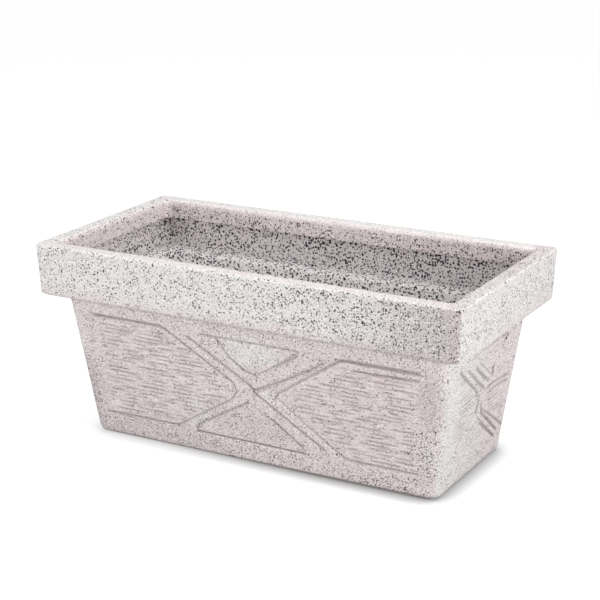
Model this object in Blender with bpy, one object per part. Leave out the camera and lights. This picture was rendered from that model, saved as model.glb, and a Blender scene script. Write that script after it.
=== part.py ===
"""A rectangular planter: one thin moulded skin with a folded rim and a moulded relief.

Metres, +Z up. The planter stands on z = 0, its long walls face -Y and +Y, and the
middle of its foot is the origin. Push-in plugs close the drain holes in its floor.
"""
import math
import random
from collections import namedtuple
from functools import partial

import bmesh
import bpy
from mathutils import Vector

# Overall size
TOP_LENGTH = 0.800
TOP_WIDTH = 0.400
HEIGHT = 0.353

# Moulded skin
SKIN = 0.006

# Rim: a tapered outer band, a flat top strip and a lip folded down inside
RIM_HEIGHT = 0.089
RIM_TAPER = 0.004
TOP_STRIP = 0.031
LIP_DROP = 0.033
RIM_CORNER_RADIUS = 0.009
TOP_OUTER_RADIUS = 0.0035
TOP_INNER_RADIUS = 0.008
LIP_BACK_RADIUS = 0.003
RIM_BACK_RADIUS = 0.004
RIM_FOOT_RADIUS = 0.006

# Underside of the rim, which falls towards the body, and the ledge above it
RIM_UNDERSIDE_DROP = 0.012
BODY_TOP_INSET = 0.037
JUNCTION_RADIUS = 0.008
LEDGE_OUTER_RADIUS = 0.012
LEDGE_INNER_RADIUS = 0.006

# Tapered body
BODY_DRAFT = 0.0315
BODY_CORNER_RADIUS = 0.016
INNER_CORNER_RADIUS = 0.010
LIP_CORNER_RADIUS = 0.013
BASE_RADIUS = 0.011
FLOOR_RADIUS = 0.016

# Foot band around the raised middle of the floor
FOOT_BAND_WIDTH = 0.026
FLOOR_LIFT = 0.007
FLOOR_STEP_RUN = 0.006
FLOOR_STEP_RADIUS = 0.002

# Drain holes, placed in shares of the raised floor's half length and half width
HOLE_RADIUS = 0.009
HOLE_ALONG_SHARE = 0.60
HOLE_ACROSS_SHARE = 0.42

# Drain plugs: a stem in the hole, a flange that rests on the floor and a finger pull
PLUG_GAP = 0.0003
PLUG_OVERHANG = 0.006
PLUG_FLANGE_THICKNESS = 0.0032
PLUG_EDGE = 0.001
PLUG_STEM_REACH_SHARE = 0.43
PLUG_TIP_TAPER = 0.0015
PULL_LENGTH_SHARE = 0.53
PULL_THICKNESS = 0.0035
PULL_HEIGHT = 0.006

# Relief cut into the four walls. Depths are shares of the skin's thickness.
STEP_DEPTH_SHARE = 0.33
STEP_FADE_SHARE = 0.08
LINE_WIDTH = 0.0076
LINE_DEPTH_SHARE = 0.52
LINE_RUN_OUT = 0.006
LINE_CLEARANCE = 0.002
LONGEST_RUN_OUT_SHARE = 0.33

# Combed courses of the panels: nearly level rows of short marks in the panel's floor
COURSE_PITCH = 0.0072
COURSE_MARGIN = 0.006
COURSES_LEFT_OUT = 2
APEX_REST_SHARE = 0.10
LONGEST_REST = 0.030
MARK_WIDTH = 0.0048
MARK_DEPTH_SHARE = 0.27
MARK_RUN_OUT = 0.008
MARK_CLEARANCE = 0.0003
SMALLEST_MARK_SHARE = 0.60
SHORTEST_MARK = 0.018
LONGEST_MARK = 0.068
SHORTEST_BREAK = 0.003
LONGEST_BREAK = 0.028
MARK_WANDER = 0.0003

# Drawing of the long wall's relief. Each point is a share of half the wall's length,
# measured from its middle, and a share of the wall's height, measured from the foot.
LONG_PANEL_SHARES = (
    (
        (-0.876, 0.905), (-0.483, 0.905), (-0.449, 0.888), (-0.098, 0.578), (-0.084, 0.514),
        (-0.118, 0.450), (-0.420, 0.180), (-0.446, 0.172), (-0.850, 0.168),
    ),
    (
        (0.870, 0.890), (0.500, 0.890), (0.470, 0.882), (0.143, 0.566), (0.126, 0.530),
        (0.290, 0.350), (0.400, 0.240), (0.474, 0.170), (0.840, 0.168),
    ),
)
LONG_TRIANGLE_SHARES = (
    (
        (-0.171, 0.893), (0.270, 0.893), (0.028, 0.663), (-0.028, 0.683),
        (-0.110, 0.766), (-0.160, 0.841),
    ),
    (
        (-0.320, 0.160), (0.256, 0.155), (0.258, 0.180), (0.043, 0.406), (-0.011, 0.458),
        (-0.326, 0.192),
    ),
)
LONG_FADING_SHARES = ()
LONG_STRAP_SHARES = (
    (-0.342, 0.872), (0.003, 0.572), (0.013, 0.536), (0.228, 0.331), (0.374, 0.200),
)
LONG_CROSS_STRAP_SHARES = ((0.012, 0.548), (0.160, 0.653), (0.281, 0.747), (0.399, 0.849))
LONG_LINE_SHARES = (
    ((-0.272, 0.894), (0.275, 0.892)),
    ((0.024, 0.662), (0.266, 0.868)),
    ((-0.164, 0.849), (-0.114, 0.767), (-0.040, 0.691)),
    ((-0.325, 0.158), (0.262, 0.151)),
    ((-0.330, 0.198), (-0.014, 0.464)),
    ((0.085, 0.370), (0.260, 0.184)),
    ((0.518, 0.824), (0.862, 0.832)),
)

# Drawing of the end wall's relief, in the same two shares
END_PANEL_SHARES = (
    (
        (-0.680, 0.872), (-0.638, 0.856), (-0.381, 0.735), (-0.116, 0.618), (-0.044, 0.566),
        (-0.036, 0.528), (-0.057, 0.464), (-0.150, 0.425), (-0.429, 0.310), (-0.613, 0.230),
        (-0.680, 0.204),
    ),
    (
        (0.760, 0.572), (0.500, 0.582), (0.283, 0.594), (0.106, 0.582), (0.054, 0.548),
        (0.064, 0.490), (0.127, 0.439), (0.408, 0.327), (0.699, 0.211), (0.760, 0.190),
    ),
)
END_TRIANGLE_SHARES = (
    (
        (-0.330, 0.906), (0.538, 0.906), (0.465, 0.830), (0.357, 0.767), (0.257, 0.706),
        (0.257, 0.665), (0.077, 0.744), (-0.166, 0.844),
    ),
)
END_FADING_SHARES = (((-0.450, 0.170), (0.490, 0.170), (0.060, 0.360), (-0.055, 0.360)),)
END_STRAP_SHARES = (
    (-0.470, 0.842), (-0.178, 0.710), (0.000, 0.634), (0.060, 0.602), (0.044, 0.545),
    (0.050, 0.495), (0.076, 0.430), (0.367, 0.295), (0.631, 0.172),
)
END_CROSS_STRAP_SHARES = ((-0.172, 0.839), (0.073, 0.739), (0.300, 0.640))
END_LINE_SHARES = (
    ((-0.262, 0.826), (-0.002, 0.697), (0.196, 0.624)),
    ((0.545, 0.904), (0.471, 0.827), (0.362, 0.762), (0.245, 0.722)),
    ((0.708, 0.530), (0.430, 0.545), (0.282, 0.549), (0.169, 0.517)),
    ((0.045, 0.370), (0.188, 0.304), (0.557, 0.144)),
    ((-0.050, 0.372), (-0.480, 0.186)),
)

LONG_DRAWING = {
    "seed": 3,
    "panels": LONG_PANEL_SHARES,
    "triangles": LONG_TRIANGLE_SHARES,
    "fading": LONG_FADING_SHARES,
    "strap": LONG_STRAP_SHARES,
    "cross_strap": LONG_CROSS_STRAP_SHARES,
    "lines": LONG_LINE_SHARES,
}
END_DRAWING = {
    "seed": 8,
    "panels": END_PANEL_SHARES,
    "triangles": END_TRIANGLE_SHARES,
    "fading": END_FADING_SHARES,
    "strap": END_STRAP_SHARES,
    "cross_strap": END_CROSS_STRAP_SHARES,
    "lines": END_LINE_SHARES,
}

# Smoothness
CORNER_STEPS = 6
ARC_STEPS = 4
SMALL_ARC_STEPS = 2
ROUND_STEPS = 28
SHARP_ANGLE = math.radians(32.0)

# Derived sizes
RIM_FOOT_Z = HEIGHT - RIM_HEIGHT
BODY_HEIGHT = RIM_FOOT_Z - RIM_UNDERSIDE_DROP
FOOT_INSET = BODY_TOP_INSET + BODY_DRAFT
FOOT_BAND_INSET = FOOT_INSET + BASE_RADIUS + FOOT_BAND_WIDTH
FLOOR_TOP = FLOOR_LIFT + SKIN
HOLE_ALONG = HOLE_ALONG_SHARE * (TOP_LENGTH / 2 - FOOT_BAND_INSET)
HOLE_ACROSS = HOLE_ACROSS_SHARE * (TOP_WIDTH / 2 - FOOT_BAND_INSET)
FLANGE_RADIUS = HOLE_RADIUS + PLUG_OVERHANG
FLANGE_TOP = FLOOR_TOP + PLUG_GAP + PLUG_FLANGE_THICKNESS
STEM_TIP = FLOOR_LIFT * (1 - PLUG_STEM_REACH_SHARE)
PULL_LENGTH = PULL_LENGTH_SHARE * FLANGE_RADIUS * 2
STEP_DEPTH = STEP_DEPTH_SHARE * SKIN
STEP_FADE = STEP_FADE_SHARE * SKIN
LINE_DEPTH = LINE_DEPTH_SHARE * SKIN
MARK_DEPTH = MARK_DEPTH_SHARE * SKIN

Groove = namedtuple("Groove", "width depth run_out clearance")
RELIEF_LINE = Groove(LINE_WIDTH, LINE_DEPTH, LINE_RUN_OUT, LINE_CLEARANCE)


def clear_scene():
    """Remove whatever the scene holds."""
    for old in list(bpy.data.objects):
        bpy.data.objects.remove(old, do_unlink=True)


def make_material(name, colour, roughness):
    """A Principled material that isn't metallic."""
    material = bpy.data.materials.new(name)
    material.use_nodes = True
    shader = material.node_tree.nodes["Principled BSDF"]
    shader.inputs["Base Color"].default_value = (*colour, 1.0)
    shader.inputs["Roughness"].default_value = roughness
    shader.inputs["Metallic"].default_value = 0.0
    return material


def object_from(name, form, material=None):
    """Turn a bmesh into a scene object, and free the bmesh."""
    mesh = bpy.data.meshes.new(name)
    bmesh.ops.recalc_face_normals(form, faces=form.faces[:])
    form.to_mesh(mesh)
    form.free()
    piece = bpy.data.objects.new(name, mesh)
    bpy.context.scene.collection.objects.link(piece)
    if material:
        mesh.materials.append(material)
    return piece


def shade(piece):
    """Round where the faces meet softly, sharp where they don't."""
    mesh = piece.data
    mesh.shade_smooth()
    mesh.set_sharp_from_angle(angle=SHARP_ANGLE)


def soften(corners):
    """Replace each corner (across, up, radius) by an arc tangent to its two sides."""
    path = []
    for index, (across, up, radius) in enumerate(corners):
        corner = Vector((across, up))
        if radius == 0.0:
            path.append(corner)
            continue
        back = (Vector(corners[index - 1][:2]) - corner).normalized()
        ahead = (Vector(corners[index + 1][:2]) - corner).normalized()
        half_turn = back.angle(ahead) / 2
        reach = radius / math.tan(half_turn)
        centre = corner + (back + ahead).normalized() * (radius / math.sin(half_turn))
        first = corner + back * reach - centre
        last = corner + ahead * reach - centre
        sweep = first.angle_signed(last)
        steps = ARC_STEPS if radius > SKIN / 2 else SMALL_ARC_STEPS
        for step in range(steps + 1):
            turn = -sweep * step / steps
            spoke = Vector((
                first.x * math.cos(turn) - first.y * math.sin(turn),
                first.x * math.sin(turn) + first.y * math.cos(turn),
            ))
            path.append(centre + spoke)
    return path


def rounded_rectangle(half_length, half_width, radius, z):
    """Points of a level rounded rectangle, counter-clockwise seen from above."""
    points = []
    for quarter in range(4):
        side_x = 1 if quarter in (0, 3) else -1
        side_y = 1 if quarter in (0, 1) else -1
        for step in range(CORNER_STEPS + 1):
            angle = math.pi / 2 * (quarter + step / CORNER_STEPS)
            points.append(Vector((
                side_x * (half_length - radius) + radius * math.cos(angle),
                side_y * (half_width - radius) + radius * math.sin(angle),
                z,
            )))
    return points


def loft(rings):
    """Closed solid through rings of equally many points; the end rings are capped."""
    form = bmesh.new()
    rows = [[form.verts.new(point) for point in ring] for ring in rings]
    count = len(rows[0])
    for lower, upper in zip(rows, rows[1:]):
        for index in range(count):
            after = (index + 1) % count
            form.faces.new((lower[index], lower[after], upper[after], upper[index]))
    form.faces.new(list(reversed(rows[0])))
    form.faces.new(rows[-1])
    return form


def outer_corners():
    """Outer skin from under the floor to the lip's cut edge: inset from the top
    outline, height, radius."""
    return (
        (FOOT_BAND_INSET + FLOOR_STEP_RUN * 2, FLOOR_LIFT, 0.0),
        (FOOT_BAND_INSET + FLOOR_STEP_RUN, FLOOR_LIFT, FLOOR_STEP_RADIUS),
        (FOOT_BAND_INSET, 0.0, FLOOR_STEP_RADIUS),
        (FOOT_INSET, 0.0, BASE_RADIUS),
        (BODY_TOP_INSET, BODY_HEIGHT, JUNCTION_RADIUS),
        (RIM_TAPER, RIM_FOOT_Z, RIM_FOOT_RADIUS),
        (0.0, HEIGHT, TOP_OUTER_RADIUS),
        (TOP_STRIP, HEIGHT, TOP_INNER_RADIUS),
        (TOP_STRIP, HEIGHT - LIP_DROP, 0.0),
    )


def inner_corners():
    """Inner skin from the back of the lip's cut edge to the floor."""
    return (
        (TOP_STRIP - SKIN, HEIGHT - LIP_DROP, 0.0),
        (TOP_STRIP - SKIN, HEIGHT - SKIN, LIP_BACK_RADIUS),
        (SKIN, HEIGHT - SKIN, RIM_BACK_RADIUS),
        (RIM_TAPER + SKIN, RIM_FOOT_Z + SKIN / 2, LEDGE_OUTER_RADIUS),
        (BODY_TOP_INSET + SKIN, BODY_HEIGHT + SKIN, LEDGE_INNER_RADIUS),
        (FOOT_INSET + SKIN, SKIN, FLOOR_RADIUS),
        (FOOT_BAND_INSET - FLOOR_STEP_RUN, SKIN, FLOOR_STEP_RADIUS),
        (FOOT_BAND_INSET, FLOOR_TOP, FLOOR_STEP_RADIUS),
        (FOOT_BAND_INSET + FLOOR_STEP_RUN, FLOOR_TOP, 0.0),
    )


def corner_radius(inset, z, is_outer):
    """Plan radius of the skin's vertical corners at one ring."""
    if inset >= BODY_TOP_INSET:
        return BODY_CORNER_RADIUS if is_outer else INNER_CORNER_RADIUS
    if inset > TOP_STRIP - SKIN / 2 and z > RIM_FOOT_Z:
        return LIP_CORNER_RADIUS
    if z > RIM_FOOT_Z:
        return RIM_CORNER_RADIUS
    return (RIM_CORNER_RADIUS + BODY_CORNER_RADIUS) / 2


def skin_rings():
    """Rings of the skin, from under its floor over the rim to the top of its floor."""
    rings = []
    for corners, is_outer in ((outer_corners(), True), (inner_corners(), False)):
        for inset, z in soften(corners):
            radius = corner_radius(inset, z, is_outer)
            rings.append(rounded_rectangle(TOP_LENGTH / 2 - inset, TOP_WIDTH / 2 - inset, radius, z))
    return rings


class Wall:
    """One tapered wall of the body, with its own across, up and out directions."""

    def __init__(self, turn, half_top, half_across):
        self.across = Vector((math.cos(turn), math.sin(turn), 0.0))
        self.level_out = Vector((math.sin(turn), -math.cos(turn), 0.0))
        self.half_top = half_top
        self.half_across = half_across
        rise = self.level_out * BODY_DRAFT + Vector((0.0, 0.0, BODY_HEIGHT))
        self.out = self.across.cross(rise).normalized()

    def point(self, across, up, out):
        """World place of a spot across and up the wall, standing out from its face."""
        inset = BODY_DRAFT * (1 - up / BODY_HEIGHT)
        face = self.across * across + self.level_out * (self.half_top - inset) + Vector((0.0, 0.0, up))
        return face + self.out * out

    def drawn(self, shares):
        """A drawing in shares as (across, up) lengths."""
        return [(across * self.half_across, up * BODY_HEIGHT) for across, up in shares]


def body_walls():
    """The long walls and the end walls, each with its drawing of the relief."""
    half_long = TOP_LENGTH / 2 - BODY_TOP_INSET
    half_end = TOP_WIDTH / 2 - BODY_TOP_INSET
    for turn in (0.0, math.pi):
        yield Wall(turn, half_end, half_long), LONG_DRAWING
        yield Wall(turn + math.pi / 2, half_long, half_end), END_DRAWING


def panel_depth(outline, across):
    """Depth of a panel's floor, which comes up to the wall's face at its outer side."""
    outer = max(abs(spot[0]) for spot in outline)
    inner = min(abs(spot[0]) for spot in outline)
    share = (outer - abs(across)) / (outer - inner)
    return share * STEP_DEPTH - (1 - share) * STEP_FADE


def panel_bed(outline, across):
    """How far the surface of a panel lies below the wall's face."""
    return max(panel_depth(outline, across), 0.0)


def fading_depths(outline):
    """Depths of a triangle whose floor comes up to the wall's face at its lowest side."""
    lowest = min(up for _, up in outline)
    highest = max(up for _, up in outline)
    shares = [(up - lowest) / (highest - lowest) for _, up in outline]
    return [share * STEP_DEPTH - (1 - share) * STEP_FADE for share in shares]


def wall_bed(across):
    """The wall's own face, for the grooves that start from it."""
    return 0.0


def add_pocket(form, wall, outline, depths):
    """Cutter for a shallow pocket: the outline carried from above the face to its floor."""
    tops = [form.verts.new(wall.point(a, u, LINE_CLEARANCE)) for a, u in outline]
    floors = [form.verts.new(wall.point(a, u, -depth)) for (a, u), depth in zip(outline, depths)]
    count = len(outline)
    for index in range(count):
        after = (index + 1) % count
        form.faces.new((tops[index], tops[after], floors[after], floors[index]))
    form.faces.new(tops)
    form.faces.new(list(reversed(floors)))


def with_run_out(path, run_out):
    """The path with a spot added near each end, from where a groove rises to the surface."""
    spots = [Vector(spot) for spot in path]
    head = spots[1] - spots[0]
    tail = spots[-2] - spots[-1]
    near_head = spots[0] + head.normalized() * min(run_out, head.length * LONGEST_RUN_OUT_SHARE)
    near_tail = spots[-1] + tail.normalized() * min(run_out, tail.length * LONGEST_RUN_OUT_SHARE)
    return [spots[0], near_head, *spots[1:-1], near_tail, spots[-1]]


def side_direction(spots, index):
    """Direction square to a path at one of its spots, halfway round each bend."""
    before = spots[max(index - 1, 0)]
    after = spots[min(index + 1, len(spots) - 1)]
    along = (after - before).normalized()
    return Vector((-along.y, along.x))


def add_groove(form, wall, path, groove, bed=wall_bed):
    """Cutter for a V-shaped groove along a path, running out to its bed at both ends."""
    spots = with_run_out(path, groove.run_out)
    half = groove.width / 2 * (groove.depth + groove.clearance) / groove.depth
    rows = []
    for index, spot in enumerate(spots):
        side = side_direction(spots, index) * half
        surface = -bed(spot.x)
        is_end = index in (0, len(spots) - 1)
        bottom = surface + groove.clearance / 2 if is_end else surface - groove.depth
        top = surface + groove.clearance
        rows.append((
            form.verts.new(wall.point(spot.x + side.x, spot.y + side.y, top)),
            form.verts.new(wall.point(spot.x - side.x, spot.y - side.y, top)),
            form.verts.new(wall.point(spot.x, spot.y, bottom)),
        ))
    for first, second in zip(rows, rows[1:]):
        for corner in range(3):
            after = (corner + 1) % 3
            form.faces.new((first[corner], first[after], second[after], second[corner]))
    form.faces.new(rows[0])
    form.faces.new(list(reversed(rows[-1])))


def span_at(outline, up):
    """Where a level line enters and leaves an outline."""
    crossings = []
    for (a, u), (b, v) in zip(outline, outline[1:] + outline[:1]):
        if (u > up) != (v > up):
            crossings.append(a + (b - a) * (up - u) / (v - u))
    return min(crossings), max(crossings)


def course_levels(outline):
    """Heights of the combed courses of a panel, from its top edge down."""
    lowest = min(up for _, up in outline)
    highest = max(up for _, up in outline)
    rows = int((highest - lowest) / COURSE_PITCH)
    return [highest - row * COURSE_PITCH for row in range(COURSES_LEFT_OUT, rows)]


def course_reach(outline, up):
    """Ends of one course, which stays off the panel's sides and out of its narrow apex."""
    left, right = span_at(outline, up)
    outer = max(abs(spot[0]) for spot in outline)
    inner = min(abs(spot[0]) for spot in outline)
    apex = inner + (outer - inner) * APEX_REST_SHARE
    if left < 0.0:
        return left + COURSE_MARGIN, min(right - COURSE_MARGIN, -apex)
    return max(left + COURSE_MARGIN, apex), right - COURSE_MARGIN


def course_marks(outline, pick):
    """Marks of a panel's courses: the path of each one and its groove."""
    for up in course_levels(outline):
        left, right = course_reach(outline, up)
        start = left + pick.uniform(0.0, LONGEST_REST)
        while start + SHORTEST_MARK < right:
            end = min(start + pick.uniform(SHORTEST_MARK, LONGEST_MARK), right)
            level = up + pick.uniform(-MARK_WANDER, MARK_WANDER)
            tilt = pick.uniform(-MARK_WANDER, MARK_WANDER)
            size = pick.uniform(SMALLEST_MARK_SHARE, 1.0)
            groove = Groove(MARK_WIDTH * size, MARK_DEPTH * size, MARK_RUN_OUT, MARK_CLEARANCE)
            yield ((start, level + tilt), (end, level - tilt)), groove
            start = end + pick.uniform(SHORTEST_BREAK, LONGEST_BREAK)


def relief_cutters():
    """Cutters for the pockets, lines and marks of all walls, one for each kind."""
    kinds = ("pockets", "outlines", "strap", "cross_strap", "lines", "marks")
    forms = {kind: bmesh.new() for kind in kinds}
    for wall, drawing in body_walls():
        for panel, shares in enumerate(drawing["panels"]):
            outline = wall.drawn(shares)
            depths = [panel_depth(outline, across) for across, _ in outline]
            add_pocket(forms["pockets"], wall, outline, depths)
            add_groove(forms["outlines"], wall, outline, RELIEF_LINE)
            pick = random.Random(drawing["seed"] + panel)
            for path, groove in course_marks(outline, pick):
                add_groove(forms["marks"], wall, path, groove, partial(panel_bed, outline))
        for shares in drawing["triangles"]:
            add_pocket(forms["pockets"], wall, wall.drawn(shares), [STEP_DEPTH] * len(shares))
        for shares in drawing["fading"]:
            outline = wall.drawn(shares)
            add_pocket(forms["pockets"], wall, outline, fading_depths(outline))
        add_groove(forms["strap"], wall, wall.drawn(drawing["strap"]), RELIEF_LINE)
        add_groove(forms["cross_strap"], wall, wall.drawn(drawing["cross_strap"]), RELIEF_LINE)
        for shares in drawing["lines"]:
            add_groove(forms["lines"], wall, wall.drawn(shares), RELIEF_LINE)
    return forms


def cut(target, cutter):
    """Subtract a cutter, which stays hidden in the scene."""
    cutter.hide_render = True
    cutter.display_type = "WIRE"
    modifier = target.modifiers.new(cutter.name, "BOOLEAN")
    modifier.operation = "DIFFERENCE"
    modifier.solver = "EXACT"
    modifier.use_self = True
    modifier.object = cutter


def cylinder(name, centre_x, centre_y, radius, low, high):
    """Upright cylinder between two heights."""
    form = loft([circle(centre_x, centre_y, radius, low), circle(centre_x, centre_y, radius, high)])
    return object_from(name, form)


def circle(centre_x, centre_y, radius, z):
    """Points of a level circle, counter-clockwise seen from above."""
    turns = [2 * math.pi * step / ROUND_STEPS for step in range(ROUND_STEPS)]
    return [Vector((centre_x + radius * math.cos(t), centre_y + radius * math.sin(t), z)) for t in turns]


def hole_places():
    """Names and centres of the drain holes."""
    for side_y, front_or_back in ((-1, "front"), (1, "back")):
        for side_x, left_or_right in ((-1, "left"), (1, "right")):
            yield f"{front_or_back}_{left_or_right}", side_x * HOLE_ALONG, side_y * HOLE_ACROSS


def build_shell(material):
    """The moulded shell with its relief and drain holes."""
    shell = object_from("planter_shell", loft(skin_rings()), material)
    for name, form in relief_cutters().items():
        cut(shell, object_from(f"cutter_{name}", form))
    for name, x, y in hole_places():
        reach = SKIN / 2
        cut(shell, cylinder(f"cutter_hole_{name}", x, y, HOLE_RADIUS, FLOOR_LIFT - reach, FLOOR_TOP + reach))
    shade(shell)
    return shell


def plug_rings(x, y):
    """Rings of a plug from the tip of its stem to the top of its flange."""
    stem = HOLE_RADIUS - PLUG_GAP
    seat = FLOOR_TOP + PLUG_GAP
    return [
        circle(x, y, stem - PLUG_TIP_TAPER, STEM_TIP),
        circle(x, y, stem, STEM_TIP + PLUG_TIP_TAPER),
        circle(x, y, stem, seat),
        circle(x, y, FLANGE_RADIUS, seat),
        circle(x, y, FLANGE_RADIUS, FLANGE_TOP - PLUG_EDGE),
        circle(x, y, FLANGE_RADIUS - PLUG_EDGE, FLANGE_TOP),
    ]


def box(name, low, high):
    """Block between two corners."""
    form = bmesh.new()
    bmesh.ops.create_cube(form, size=1.0)
    for vert in form.verts:
        for axis in range(3):
            vert.co[axis] = high[axis] if vert.co[axis] > 0 else low[axis]
    return object_from(name, form)


def build_plug(name, x, y, material):
    """A push-in drain plug with a finger pull on its flange."""
    plug = object_from(f"drain_plug_{name}", loft(plug_rings(x, y)), material)
    pull = box(
        f"joined_pull_{name}",
        (x - PULL_LENGTH / 2, y - PULL_THICKNESS / 2, FLANGE_TOP - PLUG_FLANGE_THICKNESS / 2),
        (x + PULL_LENGTH / 2, y + PULL_THICKNESS / 2, FLANGE_TOP + PULL_HEIGHT),
    )
    cut(plug, pull)
    plug.modifiers[-1].operation = "UNION"
    shade(plug)
    return plug


def build_planter():
    """The whole assembly."""
    clear_scene()
    granite_look = make_material("speckled_polyethylene", (0.68, 0.62, 0.60), 0.62)
    plug_black = make_material("plug_polyethylene", (0.045, 0.045, 0.048), 0.48)
    build_shell(granite_look)
    for name, x, y in hole_places():
        build_plug(name, x, y, plug_black)


build_planter()
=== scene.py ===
"""Looks of the rectangular planter: its speckled skin, its plugs, the studio and the camera.

Metres, in the frame of the CAD. The long front wall faces -Y and the right end wall +X. Left
and right on a wall are as seen from outside. A pair of numbers that is called a change is
where something starts to change and where it has changed.
"""
import math

import bpy
from mathutils import Matrix, Vector

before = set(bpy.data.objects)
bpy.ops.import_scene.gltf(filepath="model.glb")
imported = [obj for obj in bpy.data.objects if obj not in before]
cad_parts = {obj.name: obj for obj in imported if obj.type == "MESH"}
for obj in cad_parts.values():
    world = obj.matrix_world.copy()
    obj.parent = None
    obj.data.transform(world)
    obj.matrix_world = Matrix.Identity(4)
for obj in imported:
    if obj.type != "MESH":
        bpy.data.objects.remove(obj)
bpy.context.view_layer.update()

# The planter's own sizes, as in the CAD
HALF_LENGTH = 0.400
HALF_WIDTH = 0.200
HEIGHT = 0.353
SKIN = 0.006
BODY_HEIGHT = 0.252
RIM_FOOT_Z = 0.264
RIM_TAPER = 0.004
BODY_TOP_INSET = 0.037
BODY_DRAFT = 0.0315
TOP_STRIP = 0.031
LIP_BOTTOM_Z = 0.320
FLOOR_LIFT = 0.007
FLOOR_STEP_INSET = 0.1055
FLOOR_STEP_RUN = 0.006
HALF_LONG_WALL = HALF_LENGTH - BODY_TOP_INSET
HALF_END_WALL = HALF_WIDTH - BODY_TOP_INSET

# Camera, fitted to the photograph's edges
CAMERA_AZIMUTH = math.radians(29.2122)
CAMERA_ELEVATION = math.radians(17.3426)
CAMERA_ROLL = math.radians(-0.3573)
CAMERA_DISTANCE = 2.9443
CAMERA_ASIDE = 0.00885
CAMERA_UP = 0.24405
CAMERA_LENS = 100.15
SENSOR_WIDTH = 36.0

# Studio. A lamp's row: name, place, target, size and power
WHITE = (1.0, 1.0, 1.0, 1.0)
WORLD_LIGHT = 0.50
FLOOR_HALF_SIZE = 9.0
FLOOR_DROP = 0.0003
FLOOR_COLOUR = (0.46, 0.46, 0.46, 1.0)
FLOOR_GLOW = 0.75
LAMPS = (
    ("overhead", (0.1, -0.10, 2.4), (0.0, 0.0, 0.2), 1.2, 20.0),
    ("right", (2.5, -0.5, 1.0), (0.0, 0.0, 0.15), 1.2, 33.0),
    ("front", (-0.5, -2.5, 0.8), (0.0, 0.0, 0.15), 1.4, 28.0),
)

# Shadow of the floor's glow around the foot. What is left of the glow in it falls from the
# left to the middle, and rises a little at the right end.
SHADOW_REACH = 0.052
SHADOW_OPENNESS_CHANGE = (0.42, 0.92)
SHADOW_FALL_CHANGE_X = (-0.34, 0.16)
SHADOW_GLOW_LEFT = 0.66
SHADOW_GLOW_MIDDLE = 0.16
SHADOW_RISE_CHANGE_X = (0.30, 0.37)
SHADOW_GLOW_RISE = 0.22

# Colours as seen on the screen, 0 to 255
BODY_PINK = (225, 212, 212)
RIM_WHITE = (231, 228, 226)
RIM_DIM = (190, 177, 179)
BODY_SHADE = (203, 189, 191)
GRAIN_DARK = (152, 136, 138)
GRAIN_LIGHT = (252, 250, 249)
SPECK_FAINT = (112, 99, 103)
SPECK_MEDIUM = (58, 49, 55)
SPECK_DARK = (24, 18, 22)
# Painted shade of the grooves, the marks and the relief's lines
GROOVE_SHADE = (112, 96, 97)
COMB_SHADE = (164, 149, 149)
COMB_HIGHLIGHT = (242, 237, 236)
FREE_DARK = (208, 197, 199)
FREE_LIGHT = (246, 240, 240)
FREE_SHADE = (130, 118, 122)
FREE_SPECK = (14, 9, 13)
FREE_SPECK_SMALL = (38, 29, 35)
PLUG_BLACK = (42, 42, 44)
PLUG_DUSTY = (78, 74, 72)
PLUG_CORNER = (95, 90, 86)

# Kinds of noise: cycles per metre, detail and roughness
CLOUD_NOISE = (12.0, 4.0, 0.6)
CROWD_NOISE = (60.0, 3.0, 0.6)
GRAIN_NOISE = (520.0, 2.0, 0.7)
DRIFT_NOISE = (14.0, 3.0, 0.5)
WOBBLE_NOISE = (420.0, 2.0, 0.5)
PEEL_NOISE = (260.0, 3.0, 0.6)
PLUG_GRAIN_NOISE = (900.0, 2.0, 0.5)
PLUG_DUST_NOISE = (70.0, 4.0, 0.7)

# The combing's noise has its cycles per metre in its three factors
STREAK_NOISE = (1.0, 2.5, 0.58)
STREAK_CYCLES = (27.0, 27.0, 185.0)

# Where the mould side gives way to the free side, which is inside the planter and behind
# the lip. The lip's own face is on the mould side.
BEHIND_WALL_CHANGE = (SKIN * 0.72, SKIN * 0.80)
BELOW_TOP_CHANGE_Z = (HEIGHT - SKIN * 0.6, HEIGHT - SKIN * 0.4)
ABOVE_FLOOR_CHANGE = (SKIN * 0.4, SKIN * 0.6)
LIP_FACE_CHANGE_INSET = (TOP_STRIP - SKIN * 0.55, TOP_STRIP - SKIN * 0.45)
LIP_FACE_CHANGE_Z = (LIP_BOTTOM_Z + 0.0002, LIP_BOTTOM_Z + 0.0008)

# Zones of the skin: corners between walls, the flat top strip, the lip and the rim
CORNER_CHANGE = (-0.003, 0.004)
STRIP_CHANGE_INSET = (0.001, 0.004)
STRIP_CHANGE_Z = (HEIGHT - 0.012, HEIGHT - 0.006)
LIP_CHANGE_INSET = (TOP_STRIP - 0.006, TOP_STRIP - 0.002)
LIP_CHANGE_Z = (BODY_HEIGHT, RIM_FOOT_Z)
RIM_CHANGE_Z = (RIM_FOOT_Z + 0.008, RIM_FOOT_Z + 0.044)
RIM_WANDER = 0.030

# Whiter patches of the mould side: centre, half sizes and strength of each
WHITE_PATCHES = (
    ((0.322, -0.160, 0.070), (0.030, 0.030, 0.045), 0.30),
    ((0.000, -0.160, 0.207), (0.065, 0.030, 0.028), 0.90),
    ((-0.350, -0.150, 0.150), (0.022, 0.030, 0.080), 0.45),
)
PATCH_CHANGE = (0.45, 1.25)
WHITE_PATCH_DRIFT = 0.060

# White clouds are scattered over the body
WHITE_CLOUD_CHANGE = (0.56, 0.74)
WHITE_CLOUD_SHARE = 0.45

# The end walls are white on their left and pinker to the right
END_WHITE_CHANGE = (-0.125, 0.070)
END_WHITE_LEAST = 0.12

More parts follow.
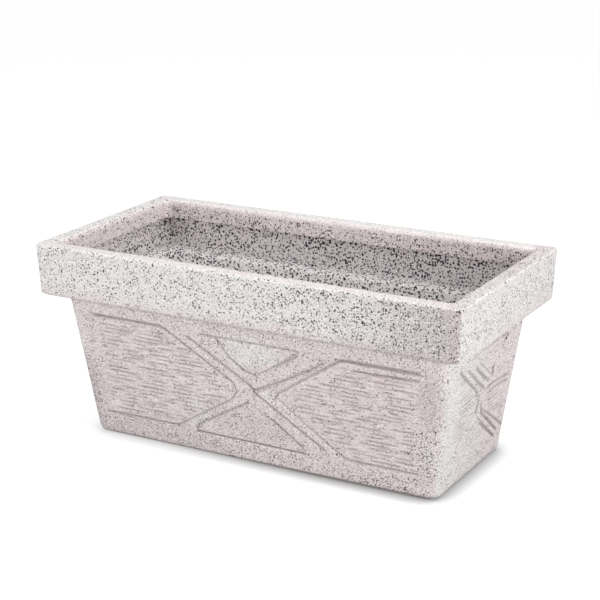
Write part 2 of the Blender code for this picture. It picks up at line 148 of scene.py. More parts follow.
# Pinker places of the rim, and how much of the rim's white the strips and the lip lose
PINK_PATCHES = (
    ((0.400, -0.186, 0.356), (0.420, 0.020, 0.012), 0.60),
)
PINK_PATCH_DRIFT = 0.016
FRONT_STRIP_PINKER = 0.42
RIGHT_STRIP_PINKER = 0.75
LIP_PINKER = 0.95

# Painted shade darkens the rim's long sides to their right end; the right strip is a darker grey
# pink
RIM_DIM_CHANGE = (0.120, 0.450)
RIM_DIM_WANDER = 0.30
RIM_DIM_FOOT_CHANGE_Z = (RIM_FOOT_Z - 0.008, RIM_FOOT_Z)
RIM_DIM_TOP_CHANGE_Z = (HEIGHT - 0.004, HEIGHT - 0.001)
RIGHT_STRIP_CHANGE_X = (HALF_LENGTH - TOP_STRIP - 0.004, HALF_LENGTH - TOP_STRIP)
RIGHT_STRIP_DIM = 0.35

# Patches of painted shade: low on the front wall, its lower triangle and ends, and the back lip
SHADE_PATCHES = (
    ((-0.010, -0.140, 0.068), (0.080, 0.020, 0.034), 0.55),
    ((-0.300, -0.135, 0.015), (0.110, 0.020, 0.026), 0.90),
    ((-0.200, -0.135, 0.030), (0.150, 0.020, 0.030), 0.60),
    ((-0.330, -0.145, 0.090), (0.030, 0.040, 0.070), 1.00),
    ((0.330, -0.155, 0.170), (0.030, 0.020, 0.060), 1.00),
    ((0.000, 0.169, 0.333), (0.600, 0.004, 0.030), 0.25),
    ((0.270, 0.169, 0.333), (0.190, 0.004, 0.030), 0.90),
)

# Fine grain, and how much of it the rim and the combed panels show
DARK_GRAIN_CHANGE = (0.30, 0.50)
DARK_GRAIN_SHARE = 0.66
LIGHT_GRAIN_CHANGE = (0.50, 0.65)
RIM_GRAIN = 0.75
PANEL_GRAIN = 0.65

# Kinds of specks: spacing, smallest and largest radius, weakest and strongest share
FAINT_SPECKS = (0.0026, 0.0003, 0.0008, 0.40, 0.90)
MEDIUM_SPECKS = (0.0034, 0.0005, 0.0010, 0.80, 1.00)
DARK_SPECKS = (0.0042, 0.0005, 0.0013, 1.00, 1.00)
FREE_SMALL_SPECKS = (0.0036, 0.0005, 0.0012, 0.80, 1.00)
FREE_COARSE_SPECKS = (0.0048, 0.0011, 0.0021, 1.00, 1.00)
SPECK_EDGE = 0.0002
SPECK_WOBBLE = 0.0014

# Factors of the specks' radius. A pair is for where few specks gather and where many do.
CROWD_CHANGE = (0.32, 0.66)
MOULD_GROWTH = (0.82, 1.22)
FREE_GROWTH = (0.97, 1.18)
BODY_GROWTH = 0.88
RIM_GROWTH = 1.02
CROWDED_RIM_GROWTH = 1.15
DARK_RIM_GROWTH = 1.12
FINE_GROWTH = 0.86
# Just under the lip the specks grow: a denser row of specks that is also the lip's painted shade
UNDER_LIP_GROWTH = 1.28
UNDER_LIP_CHANGE_Z = (LIP_BOTTOM_Z - 0.016, LIP_BOTTOM_Z - 0.004)
STRIP_HIDES_SPECKS = 0.65

# Specks gather on the rim's long sides, right of their middle, and in patches of the body
RIM_CROWD_START_CHANGE = (-0.02, 0.15)
RIM_CROWD_END_CHANGE = (0.27, 0.37)
RIM_CROWD_AFTER = 0.3
RIM_CROWD_FOOT_CHANGE_Z = (RIM_FOOT_Z - 0.004, RIM_FOOT_Z + 0.012)
RIM_CROWD_TOP_CHANGE_Z = (HEIGHT - 0.008, HEIGHT - 0.002)
CROWDED_PATCHES = (
    ((0.318, -0.150, 0.075), (0.040, 0.030, 0.060), 0.30),
    ((-0.020, -0.140, 0.020), (0.200, 0.030, 0.024), 0.18),
    ((0.225, -0.145, 0.015), (0.110, 0.030, 0.024), 0.24),
    ((-0.335, -0.145, 0.075), (0.026, 0.040, 0.080), 0.30),
)

# Painted shade: grooves and marks are darker the less open they are
GROOVE_REACH = 0.007
GROOVE_OPENNESS_CHANGE = (0.32, 0.72)
GROOVE_SHARE = 0.90
MARK_OPENNESS_CHANGE = (0.72, 0.99)
MARK_SHARE = 0.42
MARK_ELSEWHERE = 0.70
MARK_IN_PANELS = 1.15
OPENNESS_SAMPLES = 12

# Lines of the relief that get painted shade: both ends of each as shares of half the wall's
# length and of its height, and the line's strength
LONG_SHADED_LINES = (
    ((-0.850, 0.905), (-0.483, 0.905), 0.75),
    ((-0.483, 0.905), (-0.449, 0.888), 0.75),
    ((-0.449, 0.888), (-0.098, 0.578), 0.40),
    ((-0.342, 0.872), (0.003, 0.572), 0.35),
    ((0.003, 0.572), (0.013, 0.536), 0.50),
    ((0.013, 0.536), (0.374, 0.200), 0.55),
    ((0.443, 0.849), (0.477, 0.882), 0.50),
    ((0.477, 0.882), (0.878, 0.880), 0.90),
    ((-0.322, 0.160), (0.262, 0.153), 1.00),
    ((0.060, 0.398), (0.262, 0.176), 0.55),
    ((-0.160, 0.875), (-0.108, 0.763), 0.60),
    ((-0.108, 0.763), (-0.036, 0.690), 0.80),
)
END_SHADED_LINES = (
    ((-0.391, 0.902), (0.525, 0.912), 0.45),
    ((-0.657, 0.860), (-0.147, 0.623), 0.55),
    ((-0.147, 0.623), (-0.024, 0.530), 0.85),
    ((-0.024, 0.530), (-0.063, 0.437), 0.85),
    ((-0.587, 0.889), (-0.019, 0.620), 0.45),
    ((-0.225, 0.799), (0.098, 0.671), 0.55),
    ((0.059, 0.511), (0.090, 0.422), 1.00),
    ((0.090, 0.422), (0.597, 0.191), 0.75),
    ((-0.016, 0.416), (0.566, 0.145), 0.75),
    ((0.157, 0.567), (0.319, 0.608), 0.45),
)
SHADED_LINE_HALF_WIDTH = 0.0028
LINE_SHADE_SHARE = 0.50
LINE_CORE = 0.3

# Dotted line of the end walls, where dark specks stand close
END_DOTTED_LINES = (
    ((0.541, 0.904), (0.362, 0.762), 1.00),
    ((0.362, 0.762), (0.239, 0.724), 1.00),
)
DOTTED_LINE_HALF_WIDTH = 0.0070
DOTTED_LINE_GROWTH = 0.55

# Share of a wall's half length at which each combed panel starts, by height above the foot
# as a share of the body's height
LONG_LEFT_PANEL = (
    (0.16, 0.45), (0.180, 0.420), (0.450, 0.118), (0.514, 0.084), (0.578, 0.098),
    (0.888, 0.449), (0.92, 0.49),
)
LONG_RIGHT_PANEL = (
    (0.16, 0.48), (0.240, 0.400), (0.350, 0.290), (0.530, 0.126), (0.566, 0.143),
    (0.882, 0.470), (0.90, 0.50),
)
END_LEFT_PANEL = (
    (0.204, 0.680), (0.310, 0.429), (0.425, 0.150), (0.464, 0.057), (0.566, 0.044),
    (0.618, 0.116), (0.872, 0.680),
)
END_RIGHT_PANEL = (
    (0.190, 0.760), (0.327, 0.408), (0.439, 0.127), (0.548, 0.054), (0.582, 0.106),
    (0.594, 0.283), (0.610, 0.760),
)
PANEL_START_CHANGE = (0.0, 0.05)
LONG_PANEL_END_CHANGE = (0.78, 0.88)
END_PANEL_END_CHANGE = (0.67, 0.77)
PANEL_LOW_CHANGE = (0.168, 0.188)
PANEL_HIGH_CHANGE = (0.88, 0.90)

# Combing of the panels, fainter on the end walls
# Its dark and light streaks are painted shade and painted highlight of the combing's ridges
DARK_STREAK_CHANGE = (0.34, 0.48)
DARK_STREAK_SHARE = 0.33
LIGHT_STREAK_CHANGE = (0.53, 0.66)
LIGHT_STREAK_SHARE = 0.43
END_COMBING = 0.55

# Free side: its grain, its paler part below the ledge and its painted shade at the right end
FREE_GRAIN_CHANGE = (0.34, 0.64)
FREE_PALER_CHANGE_Z = (BODY_HEIGHT - 0.006, BODY_HEIGHT + 0.006)
FREE_PALER = 0.80
FREE_SHADE_CHANGE_X = (0.335, 0.385)
FREE_SHADE_SHARE = 0.35

# Relief finer than the solids, and gloss. A roughness is for the least and the most noise.
BEVEL_RADIUS = 0.0022
BEVEL_SAMPLES = 6
PEEL_DEPTH = 0.0009
COMB_DEPTH = 0.0022
PIT_DEPTH = 0.0003
SKIN_ROUGHNESS = (0.52, 0.72)
SKIN_SPECULAR = 0.35

# Plugs: dust in clouds and in corners
PLUG_DUST_CHANGE = (0.5, 0.8)
PLUG_DUST_SHARE = 0.25
PLUG_CORNER_REACH = 0.006
PLUG_CORNER_CHANGE = (0.4, 0.95)
PLUG_CORNER_SHARE = 0.4
PLUG_GRAIN_DEPTH = 0.0002
PLUG_ROUGHNESS = (0.38, 0.63)
PLUG_SPECULAR = 0.5


def linear(colour):
    """A colour as seen on the screen, 0 to 255, as the numbers that a shader takes."""
    return tuple(((c / 255 + 0.055) / 1.055) ** 2.4 for c in colour) + (1.0,)


class Nodes:
    """Short ways to add and join the nodes of one material or world."""

    def __init__(self, owner):
        owner.use_nodes = True
        self.tree = owner.node_tree
        self.tree.nodes.clear()

    def add(self, kind, **settings):
        node = self.tree.nodes.new("ShaderNode" + kind)
        for key, value in settings.items():
            setattr(node, key, value)
        return node

    def feed(self, socket, value):
        """Give a socket a number, a colour or another node's output."""
        if isinstance(value, bpy.types.NodeSocket):
            self.tree.links.new(value, socket)
        else:
            socket.default_value = value

    def math(self, operation, *values, clamp=False):
        node = self.add("Math", operation=operation, use_clamp=clamp)
        for value, socket in zip(values, node.inputs):
            self.feed(socket, value)
        return node.outputs[0]

    def times(self, *values):
        result = values[0]
        for value in values[1:]:
            result = self.math("MULTIPLY", result, value)
        return result

    def most(self, *values):
        result = values[0]
        for value in values[1:]:
            result = self.math("MAXIMUM", result, value)
        return result

    def opposite(self, value):
        return self.math("SUBTRACT", 1.0, value)

    def between(self, share, first, second):
        """Goes evenly from one value to another while a share goes from 0 to 1."""
        if isinstance(first, float) and isinstance(second, float):
            run = second - first
        else:
            run = self.math("SUBTRACT", second, first)
        return self.math("MULTIPLY_ADD", run, share, first)

    def step(self, value, change, first=0.0, last=1.0):
        """Goes smoothly from one value to another over a change of the input."""
        node = self.add("MapRange", interpolation_type="SMOOTHSTEP")
        low, high = change
        settings = {
            "Value": value, "From Min": low, "From Max": high, "To Min": first, "To Max": last,
        }
        for name, number in settings.items():
            self.feed(node.inputs[name], number)
        return node.outputs[0]

    def mix(self, share, first, second):
        """Mix of two colours, each as seen on the screen or another node's output."""
        node = self.add("Mix", data_type="RGBA")
        self.feed(node.inputs[0], share)
        for colour, socket in ((first, node.inputs[6]), (second, node.inputs[7])):
            self.feed(socket, linear(colour) if isinstance(colour, tuple) else colour)
        return node.outputs[2]

    def place(self):
        return self.add("TexCoord").outputs["Object"]

    def split(self, vector):
        node = self.add("SeparateXYZ")
        self.feed(node.inputs[0], vector)
        return node.outputs[0], node.outputs[1], node.outputs[2]

    def vector(self, operation, *values):
        node = self.add("VectorMath", operation=operation)
        for value, socket in zip(values, node.inputs):
            self.feed(socket, value)
        return node

    def moved(self, vector, other, amount):
        """A place pushed about by the colour of another texture."""
        centred = self.vector("SUBTRACT", other, (0.5, 0.5, 0.5)).outputs[0]
        return self.vector("MULTIPLY_ADD", centred, (amount, amount, amount), vector).outputs[0]

    def noise(self, vector, kind, colour=False):
        scale, detail, roughness = kind
        node = self.add("TexNoise")
        self.feed(node.inputs["Vector"], vector)
        self.feed(node.inputs["Scale"], scale)
        self.feed(node.inputs["Detail"], detail)
        self.feed(node.inputs["Roughness"], roughness)
        return node.outputs["Color" if colour else "Fac"]

    def specks(self, vector, kind, growth=1.0):
        """Specks scattered through the material, each with its own size and strength."""
        spacing, smallest, largest, weakest, strongest = kind
        node = self.add("TexVoronoi", feature="F1")
        self.feed(node.inputs["Vector"], vector)
        self.feed(node.inputs["Scale"], 1 / spacing)
        for_size, for_strength, _ = self.split(node.outputs["Color"])
        radius = self.times(self.between(for_size, smallest / spacing, largest / spacing), growth)
        inside = self.math("SUBTRACT", radius, node.outputs["Distance"])
        inside = self.math("DIVIDE", inside, SPECK_EDGE / spacing)
        inside = self.math("ADD", inside, 0.5, clamp=True)
        return self.times(inside, self.between(for_strength, weakest, strongest))

    def patch(self, vector, centre, half_sizes):
        """1 in the middle of a soft patch, 0 outside it."""
        from_centre = self.vector("SUBTRACT", vector, centre).outputs[0]
        scaled = self.vector("DIVIDE", from_centre, half_sizes).outputs[0]
        distance = self.vector("LENGTH", scaled).outputs["Value"]
        return self.step(distance, PATCH_CHANGE, 1.0, 0.0)

    def patches(self, vector, table):
        """The strongest of several soft patches at each spot."""
        return self.most(*(
            self.times(self.patch(vector, centre, half_sizes), strength)
            for centre, half_sizes, strength in table
        ))

    def curve(self, value, points):
        """A value read off a curve through points."""
        node = self.add("FloatCurve")
        line = node.mapping.curves[0]
        line.points[0].location = points[0]
        line.points[1].location = points[-1]
        for spot in points[1:-1]:
            line.points.new(*spot)
        for point in line.points:
            point.handle_type = "VECTOR"
        node.mapping.extend = "HORIZONTAL"
        node.mapping.update()
        self.feed(node.inputs["Value"], value)
        return node.outputs[0]

    def bevel(self):
        """The surface's direction with rounded edges."""
        node = self.add("Bevel", samples=BEVEL_SAMPLES)
        node.inputs["Radius"].default_value = BEVEL_RADIUS
        return node.outputs[0]

    def bump(self, height, depth, normal=None):
        node = self.add("Bump")
        self.feed(node.inputs["Strength"], 1.0)
        self.feed(node.inputs["Distance"], depth)
        self.feed(node.inputs["Height"], height)
        if normal:
            self.feed(node.inputs["Normal"], normal)
        return node.outputs[0]

    def openness(self, reach):
        """1 in the open, less in grooves and corners that are narrower than a reach."""
        node = self.add("AmbientOcclusion", samples=OPENNESS_SAMPLES)
        node.inputs["Distance"].default_value = reach
        return node.outputs["AO"]

    def seen_as_backdrop(self):
        """1 for rays of the camera, of gloss and of transmission, 0 for those that light."""
        ways = self.add("LightPath")
        kinds = ("Is Camera Ray", "Is Glossy Ray", "Is Transmission Ray")
        return self.most(*(ways.outputs[kind] for kind in kinds))

    def surface(self, colour, roughness, normal, specular):
        shader = self.add("BsdfPrincipled")
        self.feed(shader.inputs["Base Color"], colour)
        self.feed(shader.inputs["Roughness"], roughness)
        self.feed(shader.inputs["Normal"], normal)
        shader.inputs["Specular IOR Level"].default_value = specular
        self.output(shader)

    def output(self, shader, kind="OutputMaterial"):
        self.feed(self.add(kind).inputs["Surface"], shader.outputs[0])


class Spot:
    """Where a spot of the skin lies, and the noises that the skin's layers share.

    The inset is how far it lies in from the top's outline. Across is how far it lies to the
    right of a wall's middle. Free, panels and what starts with on are shares: 1 on that part
    of the planter, and 0 elsewhere.
    """

    def __init__(self, n):
        self.place = n.place()
        self.x, self.y, self.z = n.split(self.place)
        self.cloud = n.noise(self.place, CLOUD_NOISE)
        self.crowd = n.noise(self.place, CROWD_NOISE)
        self.grain = n.noise(self.place, GRAIN_NOISE)

        inward_x = n.math("SUBTRACT", HALF_LENGTH, n.math("ABSOLUTE", self.x))
        inward_y = n.math("SUBTRACT", HALF_WIDTH, n.math("ABSOLUTE", self.y))
        self.inset = n.math("MINIMUM", inward_x, inward_y)
        self.nearer_end = n.math("SUBTRACT", inward_y, inward_x)
        self.on_end = n.step(self.nearer_end, CORNER_CHANGE)
        self.on_long = n.opposite(self.on_end)
        self.long_across = n.times(self.x, n.math("SIGN", self.y), -1.0)
        self.end_across = n.times(self.y, n.math("SIGN", self.x))

        self.free = free_side(n, self)
        self.panels = n.times(combed(n, self), n.opposite(self.free))
        wandering_z = n.math("MULTIPLY_ADD", self.cloud, RIM_WANDER, self.z)
        self.on_rim = n.step(wandering_z, RIM_CHANGE_Z)
        self.on_strip = n.times(
            n.step(self.inset, STRIP_CHANGE_INSET), n.step(self.z, STRIP_CHANGE_Z)
        )
        self.on_lip = n.times(n.step(self.inset, LIP_CHANGE_INSET), n.step(self.z, LIP_CHANGE_Z))


def free_side(n, spot):
    """1 on the free side of the moulding, 0 on its mould side."""
    rim_slope = RIM_TAPER / (HEIGHT - RIM_FOOT_Z)
    body_slope = BODY_DRAFT / BODY_HEIGHT
    body = n.math("MULTIPLY_ADD", spot.z, -body_slope, BODY_TOP_INSET + BODY_DRAFT)
    rim = n.math("MULTIPLY_ADD", spot.z, -rim_slope, rim_slope * HEIGHT)
    above_body = n.math("SUBTRACT", spot.z, BODY_HEIGHT)
    in_rim = n.math("DIVIDE", above_body, RIM_FOOT_Z - BODY_HEIGHT, clamp=True)
    depth = n.math("SUBTRACT", spot.inset, n.between(in_rim, body, rim))
    on_lip_face = n.times(
        n.step(spot.z, LIP_FACE_CHANGE_Z), n.step(spot.inset, LIP_FACE_CHANGE_INSET)
    )
    past_step = n.math("SUBTRACT", spot.inset, FLOOR_STEP_INSET)
    lift = n.math("DIVIDE", past_step, FLOOR_STEP_RUN, clamp=True)
    above_underside = n.math("MULTIPLY_ADD", lift, -FLOOR_LIFT, spot.z)
    return n.times(
        n.step(depth, BEHIND_WALL_CHANGE),
        n.step(spot.z, BELOW_TOP_CHANGE_Z, 1.0, 0.0),
        n.opposite(on_lip_face),
        n.step(above_underside, ABOVE_FLOOR_CHANGE),
    )


def panel_share(n, across, up, left_curve, right_curve, end_change):
    """1 inside the combed panels of one wall."""
    is_right = n.math("GREATER_THAN", across, 0.0)
    distance = n.math("ABSOLUTE", across)
    start = n.between(is_right, n.curve(up, left_curve), n.curve(up, right_curve))
    return n.times(
        n.step(n.math("SUBTRACT", distance, start), PANEL_START_CHANGE),
        n.step(distance, end_change, 1.0, 0.0),
        n.step(up, PANEL_LOW_CHANGE),
        n.step(up, PANEL_HIGH_CHANGE, 1.0, 0.0),
    )


def combed(n, spot):
    """1 inside the combed panels of all four walls."""
    up = n.math("DIVIDE", spot.z, BODY_HEIGHT)
    long_share = n.math("DIVIDE", spot.long_across, HALF_LONG_WALL)
    end_share = n.math("DIVIDE", spot.end_across, HALF_END_WALL)
    long_walls = panel_share(
        n, long_share, up, LONG_LEFT_PANEL, LONG_RIGHT_PANEL, LONG_PANEL_END_CHANGE
    )
    end_walls = panel_share(
        n, end_share, up, END_LEFT_PANEL, END_RIGHT_PANEL, END_PANEL_END_CHANGE
    )
    return n.between(n.math("GREATER_THAN", spot.nearer_end, 0.0), long_walls, end_walls)


def near_lines(n, across, z, half_across, lines, half_width):
    """Each line's strength along it, fading to 0 at a distance from it."""
    nearness = []
    for (a, low), (b, high), strength in lines:
        start = Vector((a * half_across, low * BODY_HEIGHT))
        run = Vector((b * half_across, high * BODY_HEIGHT)) - start
        length = run.length
        run.normalize()
        from_start = n.math("SUBTRACT", across, start.x)
        above_start = n.math("SUBTRACT", z, start.y)
        along = n.math("ADD", n.times(from_start, run.x), n.times(above_start, run.y))
        on_line = n.math("MINIMUM", n.most(along, 0.0), length)
        past_end = n.math("SUBTRACT", along, on_line)
        aside = n.math("SUBTRACT", n.times(above_start, run.x), n.times(from_start, run.y))
        squares = n.math("ADD", n.times(past_end, past_end), n.times(aside, aside))
        change = (half_width * LINE_CORE, half_width)
        nearness.append(n.step(n.math("SQRT", squares), change, strength, 0.0))
    return n.most(*nearness)


def line_shade(n, spot):
    """Strength of the painted shade along the relief's lines, on all four walls."""
    long_lines = near_lines(
        n, spot.long_across, spot.z, HALF_LONG_WALL, LONG_SHADED_LINES, SHADED_LINE_HALF_WIDTH
    )
    end_lines = near_lines(
        n, spot.end_across, spot.z, HALF_END_WALL, END_SHADED_LINES, SHADED_LINE_HALF_WIDTH
    )
    return n.between(spot.on_end, long_lines, end_lines)


def dotted_line(n, spot):
    """1 along the end walls' dotted line."""
    dots = near_lines(
        n, spot.end_across, spot.z, HALF_END_WALL, END_DOTTED_LINES, DOTTED_LINE_HALF_WIDTH
    )
    return n.times(dots, spot.on_end)


def mould_whiteness(n, spot):
    """How white the mould side is: the rim more than the body, which has white places."""
    drift = n.noise(spot.place, DRIFT_NOISE, colour=True)
    drifting = n.moved(spot.place, drift, WHITE_PATCH_DRIFT)
    pinker = n.patches(n.moved(spot.place, drift, PINK_PATCH_DRIFT), PINK_PATCHES)
    at_front = n.math("LESS_THAN", spot.y, TOP_STRIP - HALF_WIDTH)
    at_right = n.math("GREATER_THAN", spot.x, HALF_LENGTH - TOP_STRIP)
    rim = n.times(
        spot.on_rim,
        n.opposite(n.times(spot.on_strip, at_front, FRONT_STRIP_PINKER)),
        n.opposite(n.times(spot.on_strip, at_right, RIGHT_STRIP_PINKER)),
        n.opposite(n.times(spot.on_lip, LIP_PINKER)),
        n.opposite(pinker),
    )
    end_across = n.times(n.split(drifting)[1], n.math("SIGN", spot.x))
    ends = n.times(
        spot.on_end,
        n.opposite(spot.on_lip),
        n.step(end_across, END_WHITE_CHANGE, 1.0, END_WHITE_LEAST),
    )
    clouds = n.step(spot.cloud, WHITE_CLOUD_CHANGE, 0.0, WHITE_CLOUD_SHARE)
    body = n.most(n.patches(drifting, WHITE_PATCHES), clouds, ends)
    return n.most(rim, n.times(body, n.opposite(n.times(spot.on_rim, pinker))))


def rim_dimness(n, spot):
    """How dark the rim's long sides are towards their right end in painted shade, and its right
    strip.
    """
    wander = n.math("SUBTRACT", spot.cloud, 0.5)
    drifting = n.math("MULTIPLY_ADD", wander, RIM_DIM_WANDER, spot.long_across)
    long_sides = n.times(
        n.step(drifting, RIM_DIM_CHANGE),
        spot.on_long,
        n.step(spot.z, RIM_DIM_FOOT_CHANGE_Z),
        n.step(spot.z, RIM_DIM_TOP_CHANGE_Z, 1.0, 0.0),
    )
    right_strip = n.times(spot.on_strip, n.step(spot.x, RIGHT_STRIP_CHANGE_X))
    return n.most(long_sides, n.times(right_strip, RIGHT_STRIP_DIM))


def mould_base(n, spot):
    """Mould side without specks: mottled pink and white with a fine grain."""
    base = n.mix(mould_whiteness(n, spot), BODY_PINK, RIM_WHITE)
    # Painted shade on the rim's long sides towards their right end, and the right strip's darker
    # tone
    base = n.mix(rim_dimness(n, spot), base, RIM_DIM)
    # Painted shade in patches
    base = n.mix(n.patches(spot.place, SHADE_PATCHES), base, BODY_SHADE)
    shown = n.times(
        n.between(spot.on_rim, 1.0, RIM_GRAIN), n.between(spot.panels, 1.0, PANEL_GRAIN)
    )
    dark = n.step(spot.grain, DARK_GRAIN_CHANGE, DARK_GRAIN_SHARE, 0.0)
    base = n.mix(n.times(shown, dark), base, GRAIN_DARK)
    return n.mix(n.times(shown, n.step(spot.grain, LIGHT_GRAIN_CHANGE)), base, GRAIN_LIGHT)


def rim_crowding(n, spot):
    """1 where the rim's long sides carry the most specks, right of their middle."""
    return n.times(
        n.step(spot.long_across, RIM_CROWD_START_CHANGE),
        n.step(spot.long_across, RIM_CROWD_END_CHANGE, 1.0, RIM_CROWD_AFTER),
        spot.on_long,
        n.step(spot.z, RIM_CROWD_FOOT_CHANGE_Z),
        n.step(spot.z, RIM_CROWD_TOP_CHANGE_Z, 1.0, 0.0),
    )


def mould_specks(n, spot, crooked, base):
    """Mould side with its specks, fainter on the long top strips, and its medium specks."""
    growth = n.times(
        n.step(spot.crowd, CROWD_CHANGE, *MOULD_GROWTH),
        n.between(n.most(rim_crowding(n, spot), spot.on_lip), 1.0, CROWDED_RIM_GROWTH),
        n.between(n.most(spot.on_rim, spot.free), BODY_GROWTH, RIM_GROWTH),
        n.math("ADD", n.patches(spot.place, CROWDED_PATCHES), 1.0),
    )
    fine = n.times(growth, n.between(n.most(spot.on_rim, spot.panels), 1.0, FINE_GROWTH))
    coarse = n.times(
        n.math("MULTIPLY_ADD", dotted_line(n, spot), DOTTED_LINE_GROWTH, growth),
        n.between(n.times(spot.on_rim, spot.on_long), 1.0, DARK_RIM_GROWTH),
    )
    shown = n.opposite(n.times(spot.on_strip, spot.on_long, STRIP_HIDES_SPECKS))
    faint = n.specks(crooked, FAINT_SPECKS, fine)
    medium = n.specks(crooked, MEDIUM_SPECKS, fine)
    dark = n.specks(crooked, DARK_SPECKS, coarse)
    for specks, colour in ((faint, SPECK_FAINT), (medium, SPECK_MEDIUM), (dark, SPECK_DARK)):
        base = n.mix(n.times(specks, shown), base, colour)
    return base, medium


def shaded_relief(n, spot, base):
    """Mould side with painted shade in its grooves and marks and along the relief's lines."""
    openness = n.openness(GROOVE_REACH)
    marks = n.times(
        n.step(openness, MARK_OPENNESS_CHANGE, 1.0, 0.0),
        n.between(spot.panels, MARK_ELSEWHERE, MARK_IN_PANELS),
    )
    grooves = n.step(openness, GROOVE_OPENNESS_CHANGE, 1.0, 0.0)
    base = n.mix(n.times(marks, MARK_SHARE), base, GROOVE_SHADE)
    base = n.mix(n.times(grooves, GROOVE_SHARE), base, GROOVE_SHADE)
    # Painted shade along the relief's lines
    return n.mix(n.times(line_shade(n, spot), LINE_SHADE_SHARE), base, GROOVE_SHADE)


def free_colour(n, spot, crooked):
    """Free side: coarse dark specks that stand close."""
    paler = n.step(spot.z, FREE_PALER_CHANGE_Z, FREE_PALER, 0.0)
    light = n.math("ADD", n.step(spot.grain, FREE_GRAIN_CHANGE), paler, clamp=True)
    # The specks grow under the lip, partly as painted shade of the lip
    growth = n.times(
        n.step(spot.crowd, CROWD_CHANGE, *FREE_GROWTH),
        n.step(spot.z, UNDER_LIP_CHANGE_Z, 1.0, UNDER_LIP_GROWTH),
    )
    colour = n.mix(light, FREE_DARK, FREE_LIGHT)
    colour = n.mix(n.specks(crooked, FREE_SMALL_SPECKS), colour, FREE_SPECK_SMALL)
    colour = n.mix(n.specks(crooked, FREE_COARSE_SPECKS, growth), colour, FREE_SPECK)
    # Painted shade on the inside at the right end
    shade = n.times(n.step(spot.x, FREE_SHADE_CHANGE_X), FREE_SHADE_SHARE)
    return n.mix(shade, colour, FREE_SHADE)


def skin_material():
    """Rotomoulded polyethylene that looks like granite, finer on its mould side."""
    material = bpy.data.materials.new("speckled_skin")
    n = Nodes(material)
    spot = Spot(n)
    wobble = n.noise(spot.place, WOBBLE_NOISE, colour=True)
    crooked = n.moved(spot.place, wobble, SPECK_WOBBLE)
    mould, medium_specks = mould_specks(n, spot, crooked, mould_base(n, spot))
    mould = shaded_relief(n, spot, mould)

    stretched = n.vector("MULTIPLY", spot.place, STREAK_CYCLES).outputs[0]
    streaks = n.noise(stretched, STREAK_NOISE)
    combing = n.times(spot.panels, n.between(spot.on_long, END_COMBING, 1.0))
    dark = n.step(streaks, DARK_STREAK_CHANGE, DARK_STREAK_SHARE, 0.0)
    light = n.step(streaks, LIGHT_STREAK_CHANGE, 0.0, LIGHT_STREAK_SHARE)
    # Painted shade and painted highlight of the combing's ridges, over the bump of the same
    # streaks
    mould = n.mix(n.times(combing, dark), mould, COMB_SHADE)
    mould = n.mix(n.times(combing, light), mould, COMB_HIGHLIGHT)

    # Orange peel, combing and pits at the specks
    normal = n.bump(n.noise(spot.place, PEEL_NOISE), PEEL_DEPTH, n.bevel())
    normal = n.bump(n.times(streaks, combing), COMB_DEPTH, normal)
    normal = n.bump(n.times(medium_specks, -1.0), PIT_DEPTH, normal)

    colour = n.mix(spot.free, mould, free_colour(n, spot, crooked))
    n.surface(colour, n.between(spot.grain, *SKIN_ROUGHNESS), normal, SKIN_SPECULAR)
    return material


def plug_material():
    """Black moulded polyethylene with a fine grain and dust in its corners."""
    material = bpy.data.materials.new("plug_black")
    n = Nodes(material)
    place = n.place()
    dust = n.noise(place, PLUG_DUST_NOISE)
    dusty = n.step(dust, PLUG_DUST_CHANGE, 0.0, PLUG_DUST_SHARE)
    in_corner = n.step(n.openness(PLUG_CORNER_REACH), PLUG_CORNER_CHANGE, 1.0, 0.0)
    colour = n.mix(dusty, PLUG_BLACK, PLUG_DUSTY)
    colour = n.mix(n.times(in_corner, PLUG_CORNER_SHARE), colour, PLUG_CORNER)
    normal = n.bump(n.noise(place, PLUG_GRAIN_NOISE), PLUG_GRAIN_DEPTH)
    n.surface(colour, n.between(dust, *PLUG_ROUGHNESS), normal, PLUG_SPECULAR)
    return material


def floor_material():
    """Pale studio floor that the camera sees as white except in the planter's shadow."""
    material = bpy.data.materials.new("studio_floor")
    n = Nodes(material)
    x = n.split(n.place())[0]
    darkest = n.math(
        "ADD",
        n.step(x, SHADOW_FALL_CHANGE_X, SHADOW_GLOW_LEFT, SHADOW_GLOW_MIDDLE),
        n.step(x, SHADOW_RISE_CHANGE_X, 0.0, SHADOW_GLOW_RISE),
    )
    in_open = n.step(n.openness(SHADOW_REACH), SHADOW_OPENNESS_CHANGE, darkest, 1.0)
    diffuse = n.add("BsdfDiffuse")
    diffuse.inputs["Color"].default_value = FLOOR_COLOUR
    glow = n.add("Emission")
    glow.inputs["Color"].default_value = WHITE
    n.feed(glow.inputs["Strength"], n.times(n.seen_as_backdrop(), in_open, FLOOR_GLOW))
    both = n.add("AddShader")
    n.feed(both.inputs[0], diffuse.outputs[0])
    n.feed(both.inputs[1], glow.outputs[0])
    n.output(both)
    return material


def make_floor():
    mesh = bpy.data.meshes.new("studio_floor")
    s = FLOOR_HALF_SIZE
    mesh.from_pydata([(-s, -s, 0), (s, -s, 0), (s, s, 0), (-s, s, 0)], [], [(0, 1, 2, 3)])
    floor = bpy.data.objects.new("studio_floor", mesh)
    floor.location.z = -FLOOR_DROP
    bpy.context.scene.collection.objects.link(floor)
    mesh.materials.append(floor_material())


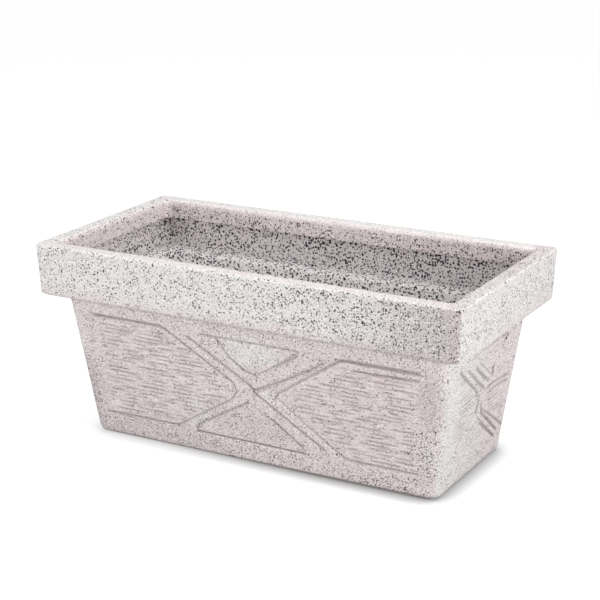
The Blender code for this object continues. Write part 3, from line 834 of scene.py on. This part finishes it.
def make_world():
    """Even white surroundings, seen as plain white behind the floor."""
    world = bpy.data.worlds.new("studio")
    bpy.context.scene.world = world
    n = Nodes(world)
    both = n.add("MixShader")
    n.feed(both.inputs[0], n.seen_as_backdrop())
    for strength, socket in ((WORLD_LIGHT, both.inputs[1]), (1.0, both.inputs[2])):
        light = n.add("Background")
        light.inputs["Color"].default_value = WHITE
        light.inputs["Strength"].default_value = strength
        n.feed(socket, light.outputs[0])
    n.output(both, "OutputWorld")


def make_lamp(name, place, target, size, power):
    lamp = bpy.data.lights.new(name, "AREA")
    lamp.shape = "DISK"
    lamp.size = size
    lamp.energy = power
    holder = bpy.data.objects.new(name, lamp)
    holder.location = place
    aim = Vector(target) - Vector(place)
    holder.rotation_euler = aim.to_track_quat("-Z", "Y").to_euler()
    bpy.context.scene.collection.objects.link(holder)


def make_camera():
    """The photograph's camera."""
    back = Vector((
        math.sin(CAMERA_AZIMUTH) * math.cos(CAMERA_ELEVATION),
        -math.cos(CAMERA_AZIMUTH) * math.cos(CAMERA_ELEVATION),
        math.sin(CAMERA_ELEVATION),
    ))
    level = Vector((math.cos(CAMERA_AZIMUTH), math.sin(CAMERA_AZIMUTH), 0.0))
    upright = back.cross(level)
    right = level * math.cos(CAMERA_ROLL) + upright * math.sin(CAMERA_ROLL)
    up = upright * math.cos(CAMERA_ROLL) - level * math.sin(CAMERA_ROLL)
    eye = back * CAMERA_DISTANCE + level * CAMERA_ASIDE + upright * CAMERA_UP
    lens = bpy.data.cameras.new("photo_camera")
    lens.sensor_fit = "HORIZONTAL"
    lens.sensor_width = SENSOR_WIDTH
    lens.lens = CAMERA_LENS
    camera = bpy.data.objects.new("photo_camera", lens)
    turned = Matrix((right, up, back)).transposed().to_4x4()
    turned.translation = eye
    camera.matrix_world = turned
    bpy.context.scene.collection.objects.link(camera)
    bpy.context.scene.camera = camera


def dress():
    """Give the CAD's pieces their materials, and keep flat faces flat where they meet grooves."""
    skin = skin_material()
    plug = plug_material()
    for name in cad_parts:
        piece = bpy.data.objects[name]
        piece.data.materials.clear()
        piece.data.materials.append(skin if name == "planter_shell" else plug)
        even = piece.modifiers.new("even_normals", "WEIGHTED_NORMAL")
        even.keep_sharp = True


def main():
    make_camera()
    make_world()
    make_floor()
    for lamp in LAMPS:
        make_lamp(*lamp)
    dress()
    bpy.context.scene.view_settings.view_transform = "Standard"


main()
